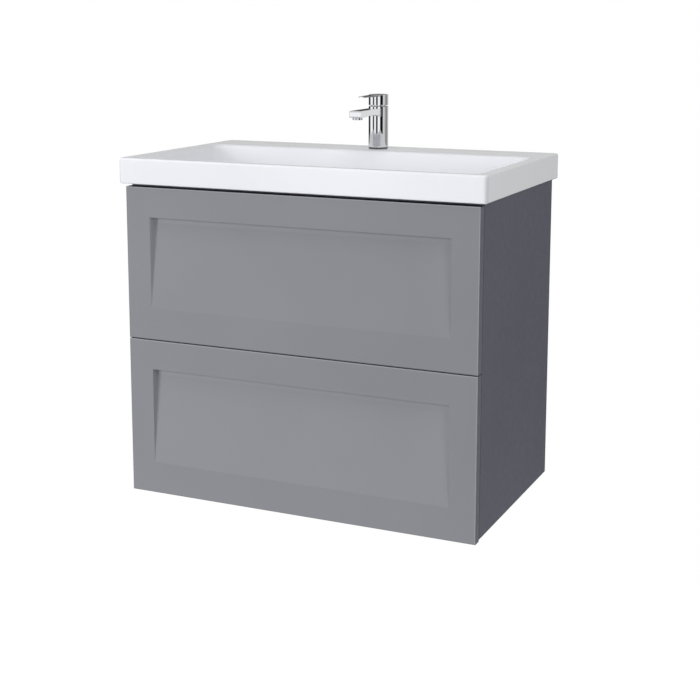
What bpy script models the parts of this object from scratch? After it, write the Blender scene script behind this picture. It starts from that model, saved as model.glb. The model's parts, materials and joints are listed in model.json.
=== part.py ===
"""Wall-hung bathroom vanity: a two-drawer cabinet, a furniture basin and a single-lever mixer.

Metres, +Z up. The wall is at +Y and the drawer fronts face -Y. The origin is the centre of the
bounding box in X and Y, at the height of the lowest drawer front's lower edge.
"""

import math

import bmesh
import bpy
from mathutils import Matrix, Vector

# Driving dimensions
CABINET_W = 0.790
CABINET_D = 0.480  # wall to the faces of the drawer fronts
BASIN_W = 0.818
BASIN_D = 0.486
FRONTS_TOP = 0.668
DIVISION_Z = 0.340  # middle of the joint between the two drawer fronts
BASIN_Z = 0.674  # underside of the basin's apron
APRON_H = 0.0545

FIT = 0.0003  # gap that touching pieces keep
LEVEL = math.pi / 2  # lean of a turned piece whose axis runs along +Y
BOARD = 0.016
FRONT_T = 0.022
FRONT_GAP = 0.002
CARCASS_Z = 0.003

WALL_Y = BASIN_D / 2
FRONT_Y = WALL_Y - CABINET_D
FRONT_BACK_Y = FRONT_Y + FRONT_T
CARCASS_Y = FRONT_BACK_Y + 0.002
CARCASS_TOP = BASIN_Z - FIT
SIDE_IN_X = CABINET_W / 2 - BOARD
RIM_Z = BASIN_Z + APRON_H

# Rails across the back stand off the wall to leave room for the hanging rail
REAR_RAIL_Y = (WALL_Y - 0.034, WALL_Y - 0.034 + BOARD)
REAR_RAIL_H = 0.090
FRONT_RAIL_H = 0.060

# Recess in a drawer front: deepest under its top rail, running out to nothing above its lower rail
STILE = 0.0565
RAIL_TOP = 0.0635
RAIL_LOW = 0.0670
RECESS_DEPTH = 0.015

# Drawer boxes on 45 mm ball-bearing runners
RUNNER_H = 0.045
RUNNER_W = 0.0127
RUNNER_LENGTH = 0.390
RAIL_STEEL = 0.0015
DRAWER_SIDE_T = 0.013
DRAWER_LENGTH = 0.400
BOTTOM_T = 0.012
DRAWERS = {
    "upper": {"front": (DIVISION_Z + FRONT_GAP / 2, FRONTS_TOP), "box": (0.375, 0.515), "runner": 0.400},
    "lower": {"front": (0.0, DIVISION_Z - FRONT_GAP / 2), "box": (0.040, 0.240), "runner": 0.080},
}
CUTOUT_HALF_W = 0.105  # room round the trap, open at the back of the upper drawer
CUTOUT_FRONT_Y = -0.075
SURROUND_T = 0.010

# Bowl of the basin
BOWL_HALF_W = 0.385
BOWL_HALF_D = 0.173
BOWL_Y = -0.048
BOWL_DEPTH = 0.112
DRAIN_Y = 0.0
DRAIN_RING_R = 0.036
DRAIN_FALL = 0.003
SHELL_T = 0.012
DECK_T = 0.014
POCKET_HALF_W = 0.377
POCKET_Y = (-0.195, WALL_Y - 0.020)
OVERFLOW_R = 0.0125

# Mixer
TAP_Y = WALL_Y - 0.047
TAP_R = 0.0220
TAP_HOLE_R = 0.0175
BODY_Z = RIM_Z + 0.0021
BODY_TOP = RIM_Z + 0.0945
CAP_Z = BODY_TOP + 0.0025
INLET_TOP = BODY_TOP - 0.0655  # where the inlets and the stud end inside the body
CAP_TOP = RIM_Z + 0.121
SPOUT_REACH = 0.130
SPOUT_HALF_W = 0.014
AERATOR_REACH = 0.115
LEVER_REACH = 0.094
LIFT_Y = TAP_Y + TAP_R - 0.0065
LIFT_Z = CAP_Z + 0.005

# Waste and trap, on the drain's axis
FLOOR_Z = RIM_Z - BOWL_DEPTH - DRAIN_FALL
DRAIN_HOLE_R = 0.0240
TAIL_END_Z = 0.540
TRAP_R = 0.031
OUTLET_Z = 0.478

GREY = (0.255, 0.259, 0.280)
WHITE = (0.86, 0.87, 0.88)


def clear_scene():
    for obj in list(bpy.data.objects):
        bpy.data.objects.remove(obj, do_unlink=True)


def new_collection(name, hidden=False):
    made = bpy.data.collections.new(name)
    made.hide_render = hidden
    bpy.context.scene.collection.children.link(made)
    return made


clear_scene()
PARTS = new_collection("bathroom_vanity")
CUTTERS = new_collection("cutters", hidden=True)


def material(name, colour, roughness, metallic=0.0):
    made = bpy.data.materials.new(name)
    made.use_nodes = True
    shader = made.node_tree.nodes["Principled BSDF"]
    shader.inputs["Base Color"].default_value = (*colour, 1.0)
    shader.inputs["Roughness"].default_value = roughness
    shader.inputs["Metallic"].default_value = metallic
    return made


LACQUER = material("grey_lacquer", GREY, 0.45)
MELAMINE = material("grey_melamine", (0.11, 0.112, 0.125), 0.5)
BOX_BOARD = material("drawer_board", (0.50, 0.51, 0.53), 0.5)
CERAMIC = material("white_ceramic", WHITE, 0.12)
CHROME = material("chrome", (0.80, 0.81, 0.83), 0.06, 1.0)
STEEL = material("zinc_steel", (0.62, 0.63, 0.65), 0.32, 1.0)
DARK_PLASTIC = material("dark_plastic", (0.05, 0.05, 0.055), 0.5)
RUBBER = material("rubber", (0.03, 0.03, 0.03), 0.8)
BRASS = material("brass", (0.72, 0.53, 0.25), 0.3, 1.0)


def empty(name, location):
    made = bpy.data.objects.new(name, None)
    made.location = location
    made.empty_display_size = 0.03
    PARTS.objects.link(made)
    return made


def finish(obj, finish_material, parent=None, cutter=False):
    """Puts a new object in its collection, gives it its material and hangs it on its joint's empty."""
    (CUTTERS if cutter else PARTS).objects.link(obj)
    obj.data.materials.append(finish_material or DARK_PLASTIC)
    if parent:
        obj.location = Vector(obj.location) - parent.location
        obj.parent = parent
    if cutter:
        obj.hide_render = True
        obj.display_type = "WIRE"
    return obj


def box(name, low, high, finish_material, parent=None, cutter=False):
    low, high = Vector(low), Vector(high)
    bm = bmesh.new()
    bmesh.ops.create_cube(bm, size=1.0)
    bmesh.ops.scale(bm, vec=high - low, verts=bm.verts)
    mesh = bpy.data.meshes.new(name)
    bm.to_mesh(mesh)
    bm.free()
    obj = bpy.data.objects.new(name, mesh)
    obj.location = (low + high) / 2
    return finish(obj, finish_material, parent, cutter)


def turned(name, profile, at, finish_material, parent=None, cutter=False, steps=24, ring=False, lean=0.0):
    """A lathe shape: profile is (radius, height) points, down its outer side; a ring's profile closes.

    lean turns its axis from +Z towards +Y.
    """
    edges = [(i, i + 1) for i in range(len(profile) - 1)]
    if ring:
        edges.append((len(profile) - 1, 0))
    mesh = bpy.data.meshes.new(name)
    mesh.from_pydata([(r, 0.0, z) for r, z in profile], edges, [])
    obj = bpy.data.objects.new(name, mesh)
    obj.location = at
    obj.rotation_euler = (-lean, 0.0, 0.0)
    screw = obj.modifiers.new("lathe", "SCREW")
    screw.steps = screw.render_steps = steps
    screw.use_merge_vertices = True
    screw.merge_threshold = 1e-5
    screw.use_smooth_shade = True
    return finish(obj, finish_material, parent, cutter)


def rod(name, radius, low, high, at, finish_material, **options):
    return turned(name, [(0, high), (radius, high), (radius, low), (0, low)], at, finish_material, **options)


def tube(name, inner, outer, low, high, at, finish_material, **options):
    profile = [(outer, high), (outer, low), (inner, low), (inner, high)]
    return turned(name, profile, at, finish_material, ring=True, **options)


def outlined(name, outlines, span, plane, finish_material, parent=None, cutter=False):
    """A flat outline pushed through span: plane XY goes up, XZ goes along +Y and YZ along +X."""
    curve = bpy.data.curves.new(name, "CURVE")
    curve.dimensions = "2D"
    curve.fill_mode = "BOTH"
    curve.extrude = (span[1] - span[0]) / 2
    for outline in outlines:
        spline = curve.splines.new("POLY")
        spline.points.add(len(outline) - 1)
        for point, (u, v) in zip(spline.points, outline):
            point.co = (u, v, 0.0, 1.0)
        spline.use_cyclic_u = True
    source = bpy.data.objects.new(name + "_outline", curve)
    bpy.context.scene.collection.objects.link(source)
    turn, middle = {
        "XY": (Matrix(), Vector((0, 0, 1))),
        "XZ": (Matrix.Rotation(math.pi / 2, 4, "X"), Vector((0, 1, 0))),
        "YZ": (Matrix.Rotation(LEVEL, 4, "Z") @ Matrix.Rotation(LEVEL, 4, "X"), Vector((1, 0, 0))),
    }[plane]
    bpy.context.view_layer.update()
    graph = bpy.context.evaluated_depsgraph_get()
    mesh = bpy.data.meshes.new_from_object(source.evaluated_get(graph))
    bpy.data.objects.remove(source)
    bm = bmesh.new()
    bm.from_mesh(mesh)
    bmesh.ops.remove_doubles(bm, verts=bm.verts, dist=1e-6)
    bmesh.ops.recalc_face_normals(bm, faces=bm.faces)
    bm.transform(turn)
    bm.to_mesh(mesh)
    bm.free()
    obj = bpy.data.objects.new(name, mesh)
    obj.location = middle * (span[0] + span[1]) / 2
    return finish(obj, finish_material, parent, cutter)


def loft(name, rings, finish_material, parent=None, cutter=False):
    """A closed skin through rings of equal point count, with flat ends."""
    bm = bmesh.new()
    rows = [[bm.verts.new(point) for point in ring] for ring in rings]
    count = len(rows[0])
    for upper, lower in zip(rows, rows[1:]):
        for i in range(count):
            j = (i + 1) % count
            bm.faces.new((upper[i], upper[j], lower[j], lower[i]))
    bm.faces.new(rows[0])
    bm.faces.new(rows[-1])
    bmesh.ops.recalc_face_normals(bm, faces=bm.faces)
    mesh = bpy.data.meshes.new(name)
    bm.to_mesh(mesh)
    bm.free()
    return finish(bpy.data.objects.new(name, mesh), finish_material, parent, cutter)


def combine(obj, other, operation):
    made = obj.modifiers.new(operation.lower() + "_" + other.name, "BOOLEAN")
    made.operation = operation
    made.object = other
    return obj


def cut(obj, *cutters):
    for cutter in cutters:
        combine(obj, cutter, "DIFFERENCE")
    return obj


def join(obj, *others):
    for other in others:
        combine(obj, other, "UNION")
    return obj


def circle(radius, count, centre=(0.0, 0.0), phase=0.0):
    turns = [phase + 2 * math.pi * i / count for i in range(count)]
    return [(centre[0] + radius * math.cos(a), centre[1] + radius * math.sin(a)) for a in turns]


def rounded_rectangle(half_w, half_d, radius, centre_y, z, per_corner=5):
    """Points of a rectangle with round corners, anticlockwise from +X, at height z."""
    points = []
    for quarter in range(4):
        sx = (1, -1, -1, 1)[quarter]
        sy = (1, 1, -1, -1)[quarter]
        for i in range(per_corner):
            a = math.pi / 2 * (quarter + i / (per_corner - 1))
            x = sx * (half_w - radius) + radius * math.cos(a)
            y = sy * (half_d - radius) + radius * math.sin(a)
            points.append((x, centre_y + y, z))
    return points


# Carcass


def side_panel(side, name):
    x = sorted((side * SIDE_IN_X, side * CABINET_W / 2))
    return box(name, (x[0], CARCASS_Y, CARCASS_Z), (x[1], WALL_Y, CARCASS_TOP), MELAMINE)


def cross_board(name, y, z):
    reach = SIDE_IN_X - FIT
    return box(name, (-reach, y[0], z[0]), (reach, y[1], z[1]), MELAMINE)


def carcass():
    side_panel(-1, "side_panel_left")
    side_panel(1, "side_panel_right")
    cross_board("bottom_panel", (CARCASS_Y, REAR_RAIL_Y[1]), (CARCASS_Z, CARCASS_Z + BOARD))
    cross_board("front_rail", (CARCASS_Y, CARCASS_Y + BOARD), (CARCASS_TOP - FRONT_RAIL_H, CARCASS_TOP))
    low = CARCASS_Z + BOARD + FIT
    cross_board("rear_rail_lower", REAR_RAIL_Y, (low, low + REAR_RAIL_H))
    upper = cross_board("rear_rail_upper", REAR_RAIL_Y, (CARCASS_TOP - REAR_RAIL_H, CARCASS_TOP))
    for side, word in ((-1, "left"), (1, "right")):
        x = sorted((side * 0.358, side * 0.385))
        slot = box("hook_slot_" + word, (x[0], 0.20, 0.636), (x[1], 0.23, 0.680), None, cutter=True)
        cut(upper, slot)


# Hanging hardware


HOOK_X = (0.3627, 0.3767)
BRACKET_X = SIDE_IN_X - FIT
HOOK_Z = 0.6525
LIP_Y = (WALL_Y - 0.0077, WALL_Y - 0.0060)  # raised lip of the wall rail, which the hooks drop behind


def hanger(side, word):
    """Bracket on the side panel: a body, a tongue through the rear rail's slot and a hook behind the lip."""

    def block(name, x, y, z, cutter):
        xs = sorted((side * x[0], side * x[1]))
        return box(name, (xs[0], y[0], z[0]), (xs[1], y[1], z[1]), STEEL, cutter=cutter)

    front_y = REAR_RAIL_Y[0] - 0.055
    body = block("hanger_bracket_" + word, (BRACKET_X - 0.018, BRACKET_X), (front_y, REAR_RAIL_Y[0] - FIT),
                 (0.612, 0.660), False)
    tip_y = WALL_Y - 0.0025
    tongue = block("tongue_" + word, HOOK_X, (REAR_RAIL_Y[0] - 0.010, tip_y), (HOOK_Z, HOOK_Z + 0.0045), True)
    hook = block("hook_" + word, HOOK_X, (tip_y - 0.0027, tip_y), (HOOK_Z - 0.010, HOOK_Z + 0.002), True)
    screw_at = (side * (BRACKET_X - 0.009), front_y, 0.632)
    bore = rod("screw_bore_" + word, 0.0036, -0.002, 0.030, screw_at, None, cutter=True, lean=LEVEL, steps=12)
    cut(join(body, tongue, hook), bore)
    head = [(0, 0.028), (0.0032, 0.028), (0.0032, -0.0005), (0.0058, -0.0005), (0.0058, -0.0045),
            (0, -0.0045)]
    turned("hanger_screw_" + word, head, screw_at, STEEL, lean=LEVEL, steps=12)


def wall_rail():
    """Pressed steel rail screwed to the wall: a plate, a step and an upturned lip for the hooks."""
    back = WALL_Y
    face = WALL_Y - 0.0018
    outline = [(back, 0.600), (back, 0.6403), (LIP_Y[1], 0.6403), (LIP_Y[1], 0.6515),
               (LIP_Y[0], 0.6515), (LIP_Y[0], 0.6385), (face, 0.6385), (face, 0.600)]
    rail = outlined("wall_rail", [outline], (-SIDE_IN_X + 0.0005, SIDE_IN_X - 0.0005), "YZ", STEEL)
    for i, x in enumerate((-0.30, -0.12, 0.12, 0.30)):
        cut(rail, rod(f"wall_screw_hole_{i}", 0.004, -0.010, 0.010, (x, WALL_Y, 0.618), None, cutter=True,
                      lean=LEVEL, steps=12))


# Basin


def bowl_ring(u, offset=0.0, drop=0.0):
    """Outline of the bowl at depth share u; offset grows it outwards and drop lowers it."""
    inset = 0.075 * u + 0.055 * u**4
    half_w = BOWL_HALF_W - inset + offset
    half_d = BOWL_HALF_D - inset + offset
    centre_y = BOWL_Y + (DRAIN_Y - BOWL_Y) * u**2 * 0.9
    radius = min(0.022 + 0.045 * u + offset / 2, half_d * 0.98)
    return rounded_rectangle(half_w, half_d, radius, centre_y, RIM_Z - BOWL_DEPTH * u - drop)


def basin():
    half_w, half_d = BASIN_W / 2, BASIN_D / 2
    top_r, low_r, corner = 0.004, 0.003, 0.014
    ease = top_r * 0.3
    shell = loft("basin", [
        rounded_rectangle(half_w - top_r, half_d - top_r, corner - top_r, 0.0, RIM_Z),
        rounded_rectangle(half_w - ease, half_d - ease, corner - ease, 0.0, RIM_Z - ease),
        rounded_rectangle(half_w, half_d, corner, 0.0, RIM_Z - top_r),
        rounded_rectangle(half_w, half_d, corner, 0.0, BASIN_Z + low_r),
        rounded_rectangle(half_w - low_r, half_d - low_r, corner - low_r, 0.0, BASIN_Z),
    ], CERAMIC)
    pocket = box("underside_pocket", (-POCKET_HALF_W, POCKET_Y[0], BASIN_Z - 0.050),
                 (POCKET_HALF_W, POCKET_Y[1], RIM_Z - DECK_T), None, cutter=True)
    shares = (0.0, 0.25, 0.5, 0.7, 0.85, 0.95, 1.0)
    outside = [bowl_ring(u, SHELL_T, SHELL_T if u else 0.006) for u in shares]
    hump = loft("bowl_outside", outside, None, cutter=True)
    drain = [(x, DRAIN_Y + y, FLOOR_Z) for x, y in drain_ring(len(bowl_ring(0.0)))]
    mouth = [(x, y, z + 0.010) for x, y, z in bowl_ring(0.0)]
    hollow = loft("bowl_inside", [mouth] + [bowl_ring(u) for u in shares] + [drain], None, cutter=True)
    drain_hole = rod("drain_hole", DRAIN_HOLE_R, -0.030, 0.010, (0, DRAIN_Y, FLOOR_Z), None, cutter=True)
    boss = rod("drain_boss", 0.045, -SHELL_T - 0.0005, 0.0, (0, DRAIN_Y, FLOOR_Z), None, cutter=True)
    tap_hole = rod("tap_hole", TAP_HOLE_R, -0.020, 0.010, (0, TAP_Y, RIM_Z), None, cutter=True)
    overflow_at, lean = overflow_place()
    overflow_hole = rod("overflow_hole", OVERFLOW_R, -0.024, 0.030, overflow_at, None, cutter=True,
                        lean=lean, steps=20)
    cut(shell, pocket)
    join(shell, hump, boss)
    cut(shell, hollow, drain_hole, tap_hole, overflow_hole)
    return shell


def drain_ring(count):
    """A circle whose points pair with those of a bowl ring: a quarter turn for each of its corners."""
    per_corner = count // 4
    turns = []
    for quarter in range(4):
        for i in range(per_corner):
            turns.append(math.pi / 2 * (quarter + (i + 0.5) / per_corner))
    return [(DRAIN_RING_R * math.cos(a), DRAIN_RING_R * math.sin(a)) for a in turns]


def overflow_place():
    """Middle of the overflow on the bowl's sloping front wall, and the lean of the wall's normal."""
    u = 0.28

    def front_wall(share):
        return min((y, z) for x, y, z in bowl_ring(share))

    above, middle, below = (Vector(front_wall(share)) for share in (u - 0.01, u, u + 0.01))
    fall = below - above
    return (0, middle.x, middle.y), math.atan2(-fall.y, fall.x)


def overflow_ring():
    """A chrome collar pushed into the hole, its flange on the wall."""
    inner, outer, flange = 0.0095, OVERFLOW_R - FIT, 0.0155
    profile = [(flange, 0.0042), (flange, 0.0024), (outer, 0.0024), (outer, -0.012), (inner, -0.012),
               (inner, 0.0042)]
    at, lean = overflow_place()
    turned("overflow_ring", profile, at, CHROME, ring=True, lean=lean, steps=20)


# Waste and trap


def waste():
    at = (0, DRAIN_Y, 0)
    seat = FLOOR_Z + FIT
    profile = [(0.033, seat + 0.0022), (0.033, seat), (0.0225, seat), (0.0225, 0.600), (0.0209, 0.598),
               (0.0209, TAIL_END_Z), (0.0180, TAIL_END_Z), (0.0180, seat - 0.004), (0.0225, seat + 0.0022)]
    body = turned("waste_body", profile, at, CHROME, ring=True)
    hub = tube("waste_hub", 0.0036, 0.0062, 0.584, 0.596, at, None, cutter=True, steps=12)
    join(body, hub)
    for i in range(3):
        rib = box(f"waste_rib_{i}", (-0.0072, -0.0011, -0.005), (0.0072, 0.0011, 0.005), None, cutter=True)
        turn = 2 * math.pi * i / 3 + math.pi / 2
        rib.rotation_euler = (0, 0, turn)
        rib.location = (0.0122 * math.cos(turn), DRAIN_Y + 0.0122 * math.sin(turn), 0.590)
        join(body, rib)
    tube("waste_gasket", 0.0230, 0.0315, FLOOR_Z - SHELL_T - 0.0045, FLOOR_Z - SHELL_T - 0.0009, at, RUBBER)
    hexagon = circle(0.0335, 6, (0, DRAIN_Y))
    hole = circle(0.0214, 24, (0, DRAIN_Y))
    outlined("waste_nut", [hexagon, hole], (0.5855, FLOOR_Z - SHELL_T - 0.0050), "XY", BRASS)

    plug_origin = empty("waste_plug_slide", (0, DRAIN_Y, seat + 0.0025))
    cap = [(0, 0.0062), (0.018, 0.0056), (0.0275, 0.0042), (0.0312, 0.0024), (0.0312, 0.0),
           (0.0030, 0.0), (0.0030, -0.036), (0, -0.036)]
    turned("waste_plug", cap, plug_origin.location, CHROME, parent=plug_origin)


def trap():
    at = (0, DRAIN_Y, 0)
    nut = [(0.0270, 0.560), (0.0270, 0.533), (0.0164, 0.533), (0.0164, 0.5362), (0.0213, 0.5362),
           (0.0213, 0.560)]
    turned("trap_nut", nut, at, CHROME, ring=True)
    inlet = [(0.0206, 0.5396), (0.0206, 0.5366), (0.0160, 0.5366), (0.0160, 0.432), (0.0145, 0.432),
             (0.0145, 0.5396)]
    turned("trap_inlet_tube", inlet, at, CHROME, ring=True)
    head = [(0.0200, 0.510), (TRAP_R - 0.004, 0.5065), (TRAP_R, 0.5025), (TRAP_R, 0.4525),
            (TRAP_R - 0.003, 0.4525),
            (TRAP_R - 0.003, 0.500), (0.0164, 0.503), (0.0164, 0.510)]
    body = turned("trap_body", head, at, CHROME, ring=True)
    boss = rod("trap_boss", 0.0205, 0.020, 0.046, (0, DRAIN_Y, OUTLET_Z), None, cutter=True, lean=LEVEL)
    room = rod("trap_room", TRAP_R - 0.003, 0.4600, 0.5005, at, None, cutter=True)
    bore = rod("trap_outlet_bore", 0.0164, 0.010, 0.060, (0, DRAIN_Y, OUTLET_Z), None, cutter=True, lean=LEVEL)
    cut(join(body, boss), room, bore)
    cup = [(0, 0.401), (TRAP_R - 0.009, 0.401), (TRAP_R - 0.006, 0.405), (TRAP_R - 0.004, 0.4522),
           (TRAP_R, 0.4522), (TRAP_R, 0.446), (TRAP_R - 0.002, 0.444), (TRAP_R - 0.003, 0.404),
           (TRAP_R - 0.008, 0.398), (0, 0.398)]
    turned("trap_cup", cup, at, CHROME)
    reach = WALL_Y - FIT - DRAIN_Y
    tube("trap_outlet_arm", 0.0145, 0.0160, 0.034, reach, (0, DRAIN_Y, OUTLET_Z), CHROME, lean=LEVEL)
    rosette = [(0.0164, WALL_Y - 0.009), (0.0164, WALL_Y), (0.0360, WALL_Y), (0.0360, WALL_Y - 0.003),
               (0.0200, WALL_Y - 0.009)]
    turned("wall_rosette", rosette, (0, 0, OUTLET_Z), CHROME, ring=True, lean=LEVEL)


# Mixer


def mixer_body():
    at = (0, TAP_Y, 0)
    body = rod("mixer_body", TAP_R, BODY_Z, BODY_TOP, at, CHROME, steps=32)
    tip = TAP_Y - SPOUT_REACH
    top = BODY_TOP - 0.0040
    underside = top - 0.0150
    side_view = [(TAP_Y, top), (tip + 0.004, top), (tip + 0.001, top - 0.0010), (tip, top - 0.0040),
                 (tip, underside + 0.0015), (tip + 0.004, underside), (tip + 0.030, underside),
                 (tip + 0.050, top - 0.0120), (tip + 0.080, top - 0.0125), (TAP_Y - 0.030, top - 0.0150),
                 (TAP_Y - 0.020, top - 0.0190), (TAP_Y, top - 0.0200)]
    spout = outlined("spout", [side_view], (-SPOUT_HALF_W, SPOUT_HALF_W), "YZ", None, cutter=True)
    cavity = rod("cartridge_room", 0.0185, BODY_TOP - 0.040, BODY_TOP + 0.010, at, None, cutter=True)
    inlet_room = rod("inlet_room", 0.0150, BODY_Z - 0.010, INLET_TOP + 0.0005, at, None, cutter=True)
    outlet = (0, TAP_Y - AERATOR_REACH, underside)
    aerator_bore = rod("aerator_bore", 0.0113, -0.010, 0.0085, outlet, None, cutter=True)
    water_way = rod("water_way", 0.0042, -AERATOR_REACH, 0.0, (0, TAP_Y, underside + 0.0062), None,
                    cutter=True, lean=LEVEL, steps=12)
    cut(join(body, spout), cavity, inlet_room, aerator_bore, water_way)
    tube("mixer_aerator", 0.0070, 0.0110, -0.0050, 0.0040, outlet, CHROME, steps=20)
    tube("mixer_gasket", 0.0160, TAP_R - 0.0005, RIM_Z + FIT, BODY_Z - FIT, at, RUBBER)


def mixer_fixing():
    stud_y = TAP_Y - 0.0095
    under = RIM_Z - DECK_T
    rod("fixing_stud", 0.0040, under - 0.045, INLET_TOP, (0, stud_y, 0), STEEL, steps=12)
    arms = [math.radians(-215 + 250 * i / 14) for i in range(15)]
    opening = [(0.0150, TAP_Y - 0.0040), (-0.0150, TAP_Y - 0.0040)]
    tips = [(0.0150, TAP_Y + 0.0125), *opening, (-0.0150, TAP_Y + 0.0125)]
    horseshoe = [(0.0225 * math.cos(a), TAP_Y + 0.0225 * math.sin(a)) for a in arms] + tips
    stud_hole = circle(0.0045, 12, (0, stud_y))
    outlined("fixing_washer", [horseshoe, stud_hole], (under - 0.0033, under - FIT), "XY", STEEL)
    hexagon = circle(0.0080, 6, (0, stud_y))
    nut_bore = circle(0.0043, 12, (0, stud_y))
    outlined("fixing_nut", [hexagon, nut_bore], (under - 0.0100, under - 0.0036), "XY", BRASS)
    for side, word in ((-1, "hot"), (1, "cold")):
        at = (side * 0.0098, TAP_Y + 0.0015, 0)
        tube("inlet_stub_" + word, 0.0025, 0.0048, under - 0.050, INLET_TOP, at, BRASS, steps=12)


def mixer_control():
    at = (0, TAP_Y, 0)
    rod("mixer_cartridge", 0.0172, BODY_TOP - 0.0395, BODY_TOP - 0.0003, at, DARK_PLASTIC)
    tube("mixer_collar", 0.0080, 0.0165, BODY_TOP, BODY_TOP + 0.0028, at, CHROME)

    swivel = empty("mixer_swivel", (0, TAP_Y, BODY_TOP))
    stem_z = BODY_TOP + 0.0031
    stem = rod("mixer_stem", 0.0122, stem_z, stem_z + 0.0055, at, DARK_PLASTIC, parent=swivel)
    post = rod("stem_post", 0.0065, BODY_TOP, stem_z + 0.003, at, None, cutter=True, steps=16)
    lug = box("stem_lug", (-0.0048, LIFT_Y - 0.008, stem_z), (0.0048, LIFT_Y + 0.0022, LIFT_Z + 0.0035),
              None, cutter=True)
    lug_bore = pin_rod("stem_bore", 0.0017, 0.010, None, cutter=True)
    cut(join(stem, post, lug), lug_bore)

    lift = empty("mixer_lift", (0, LIFT_Y, LIFT_Z))
    lift.location -= swivel.location
    lift.parent = swivel
    bpy.context.view_layer.update()
    cap = mixer_lever()
    pin = pin_rod("mixer_pin", 0.0014, 0.0100, STEEL)
    for piece in (cap, pin):
        piece.parent = lift
        piece.location = Vector(piece.location) - Vector((0, LIFT_Y, LIFT_Z))


def pin_rod(name, radius, half_length, finish_material, **options):
    at = (0, LIFT_Y, LIFT_Z)
    pin = rod(name, radius, -half_length, half_length, at, finish_material, steps=12, **options)
    pin.rotation_euler = (0, math.pi / 2, 0)
    return pin


def mixer_lever():
    """Cap of the body's own diameter with a thin tapering blade at its top, and lugs inside for its pin."""
    at = (0, TAP_Y, 0)
    inner = TAP_R - 0.003
    profile = [(0, CAP_TOP), (TAP_R - 0.001, CAP_TOP), (TAP_R, CAP_TOP - 0.001), (TAP_R, CAP_Z),
               (inner, CAP_Z), (inner, CAP_TOP - 0.004), (0, CAP_TOP - 0.004)]
    cap = turned("mixer_lever", profile, at, CHROME, steps=32)
    root_y, tip_y = TAP_Y - 0.006, TAP_Y - LEVER_REACH
    side_view = [(root_y, CAP_TOP - 0.0006), (tip_y, CAP_TOP - 0.0006), (tip_y - 0.0004, CAP_TOP - 0.0016),
                 (tip_y, CAP_TOP - 0.0028), (root_y, CAP_TOP - 0.0036)]
    blade = outlined("lever_blade", [side_view], (-0.011, 0.011), "YZ", None, cutter=True)
    for side in (-1, 1):
        corner = [(side * 0.0115, TAP_Y - 0.018), (side * 0.0300, TAP_Y - 0.018),
                  (side * 0.0300, tip_y - 0.010), (side * 0.0062, tip_y - 0.010)]
        span = (CAP_TOP - 0.010, CAP_TOP + 0.010)
        taper = outlined(f"blade_taper_{side + 1}", [corner], span, "XY", None, cutter=True)
        cut(blade, taper)
    join(cap, blade)
    for side in (-1, 1):
        x = sorted((side * 0.0060, side * 0.0095))
        lug = box(f"cap_lug_{side + 1}", (x[0], LIFT_Y - 0.0032, CAP_Z + 0.0012),
                  (x[1], LIFT_Y + 0.0030, CAP_TOP - 0.003), None, cutter=True)
        join(cap, lug)
    # A relief in the rear wall clears the stem's lug when the lever is lifted
    relief = box("cap_relief", (-0.0062, LIFT_Y + 0.001, CAP_Z - 0.001),
                 (0.0062, LIFT_Y + 0.0052, CAP_Z + 0.009), None, cutter=True)
    return cut(cap, relief, pin_rod("cap_bore", 0.0017, 0.0102, None, cutter=True))


# Drawers


def drawer_front(word, parent):
    """Slab with an inclined recess: a prism cuts it, deep at the top and level with the face below."""
    z = DRAWERS[word]["front"]
    half = CABINET_W / 2
    slab = box("drawer_front_" + word, (-half, FRONT_Y, z[0]), (half, FRONT_BACK_Y, z[1]), LACQUER, parent)
    low, high = z[0] + RAIL_LOW, z[1] - RAIL_TOP
    proud = 0.010
    wedge = [(FRONT_Y + RECESS_DEPTH, high), (FRONT_Y - proud, high),
             (FRONT_Y - proud, low - proud * (high - low) / RECESS_DEPTH)]
    prism = outlined("recess_" + word, [wedge], (-half + STILE, half - STILE), "YZ", None, cutter=True)
    return cut(slab, prism)


def runner(word, side, side_word, middle_parent, drawer_parent):
    """Three nested members: the cabinet's channel, the middle channel and the drawer's bar."""
    z = DRAWERS[word]["runner"]
    wall = SIDE_IN_X - FIT
    back = WALL_Y - 0.058
    suffix = f"{word}_{side_word}"

    def channel(name, x_open, x_web, low, high, span, parent=None):
        steel = RAIL_STEEL
        outline = [(x_open, low), (x_web, low), (x_web, high), (x_open, high), (x_open, high - steel),
                   (x_web - steel, high - steel), (x_web - steel, low + steel), (x_open, low + steel)]
        return outlined(name, [[(side * x, v) for x, v in outline]], span, "XZ", STEEL, parent)

    front = back - RUNNER_LENGTH
    channel("cabinet_rail_" + suffix, wall - RUNNER_W + 0.001, wall, z, z + RUNNER_H, (front, back))
    low, high = z + 0.0020, z + RUNNER_H - 0.0020
    channel("middle_rail_" + suffix, wall - RUNNER_W + 0.0012, wall - 0.0020, low, high,
            (front, back - 0.006), middle_parent)
    x = sorted((side * (wall - RUNNER_W + FIT), side * (wall - 0.0055)))
    box("drawer_rail_" + suffix, (x[0], front, z + 0.0040), (x[1], back - 0.012, z + RUNNER_H - 0.0040),
        STEEL, drawer_parent)


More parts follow.
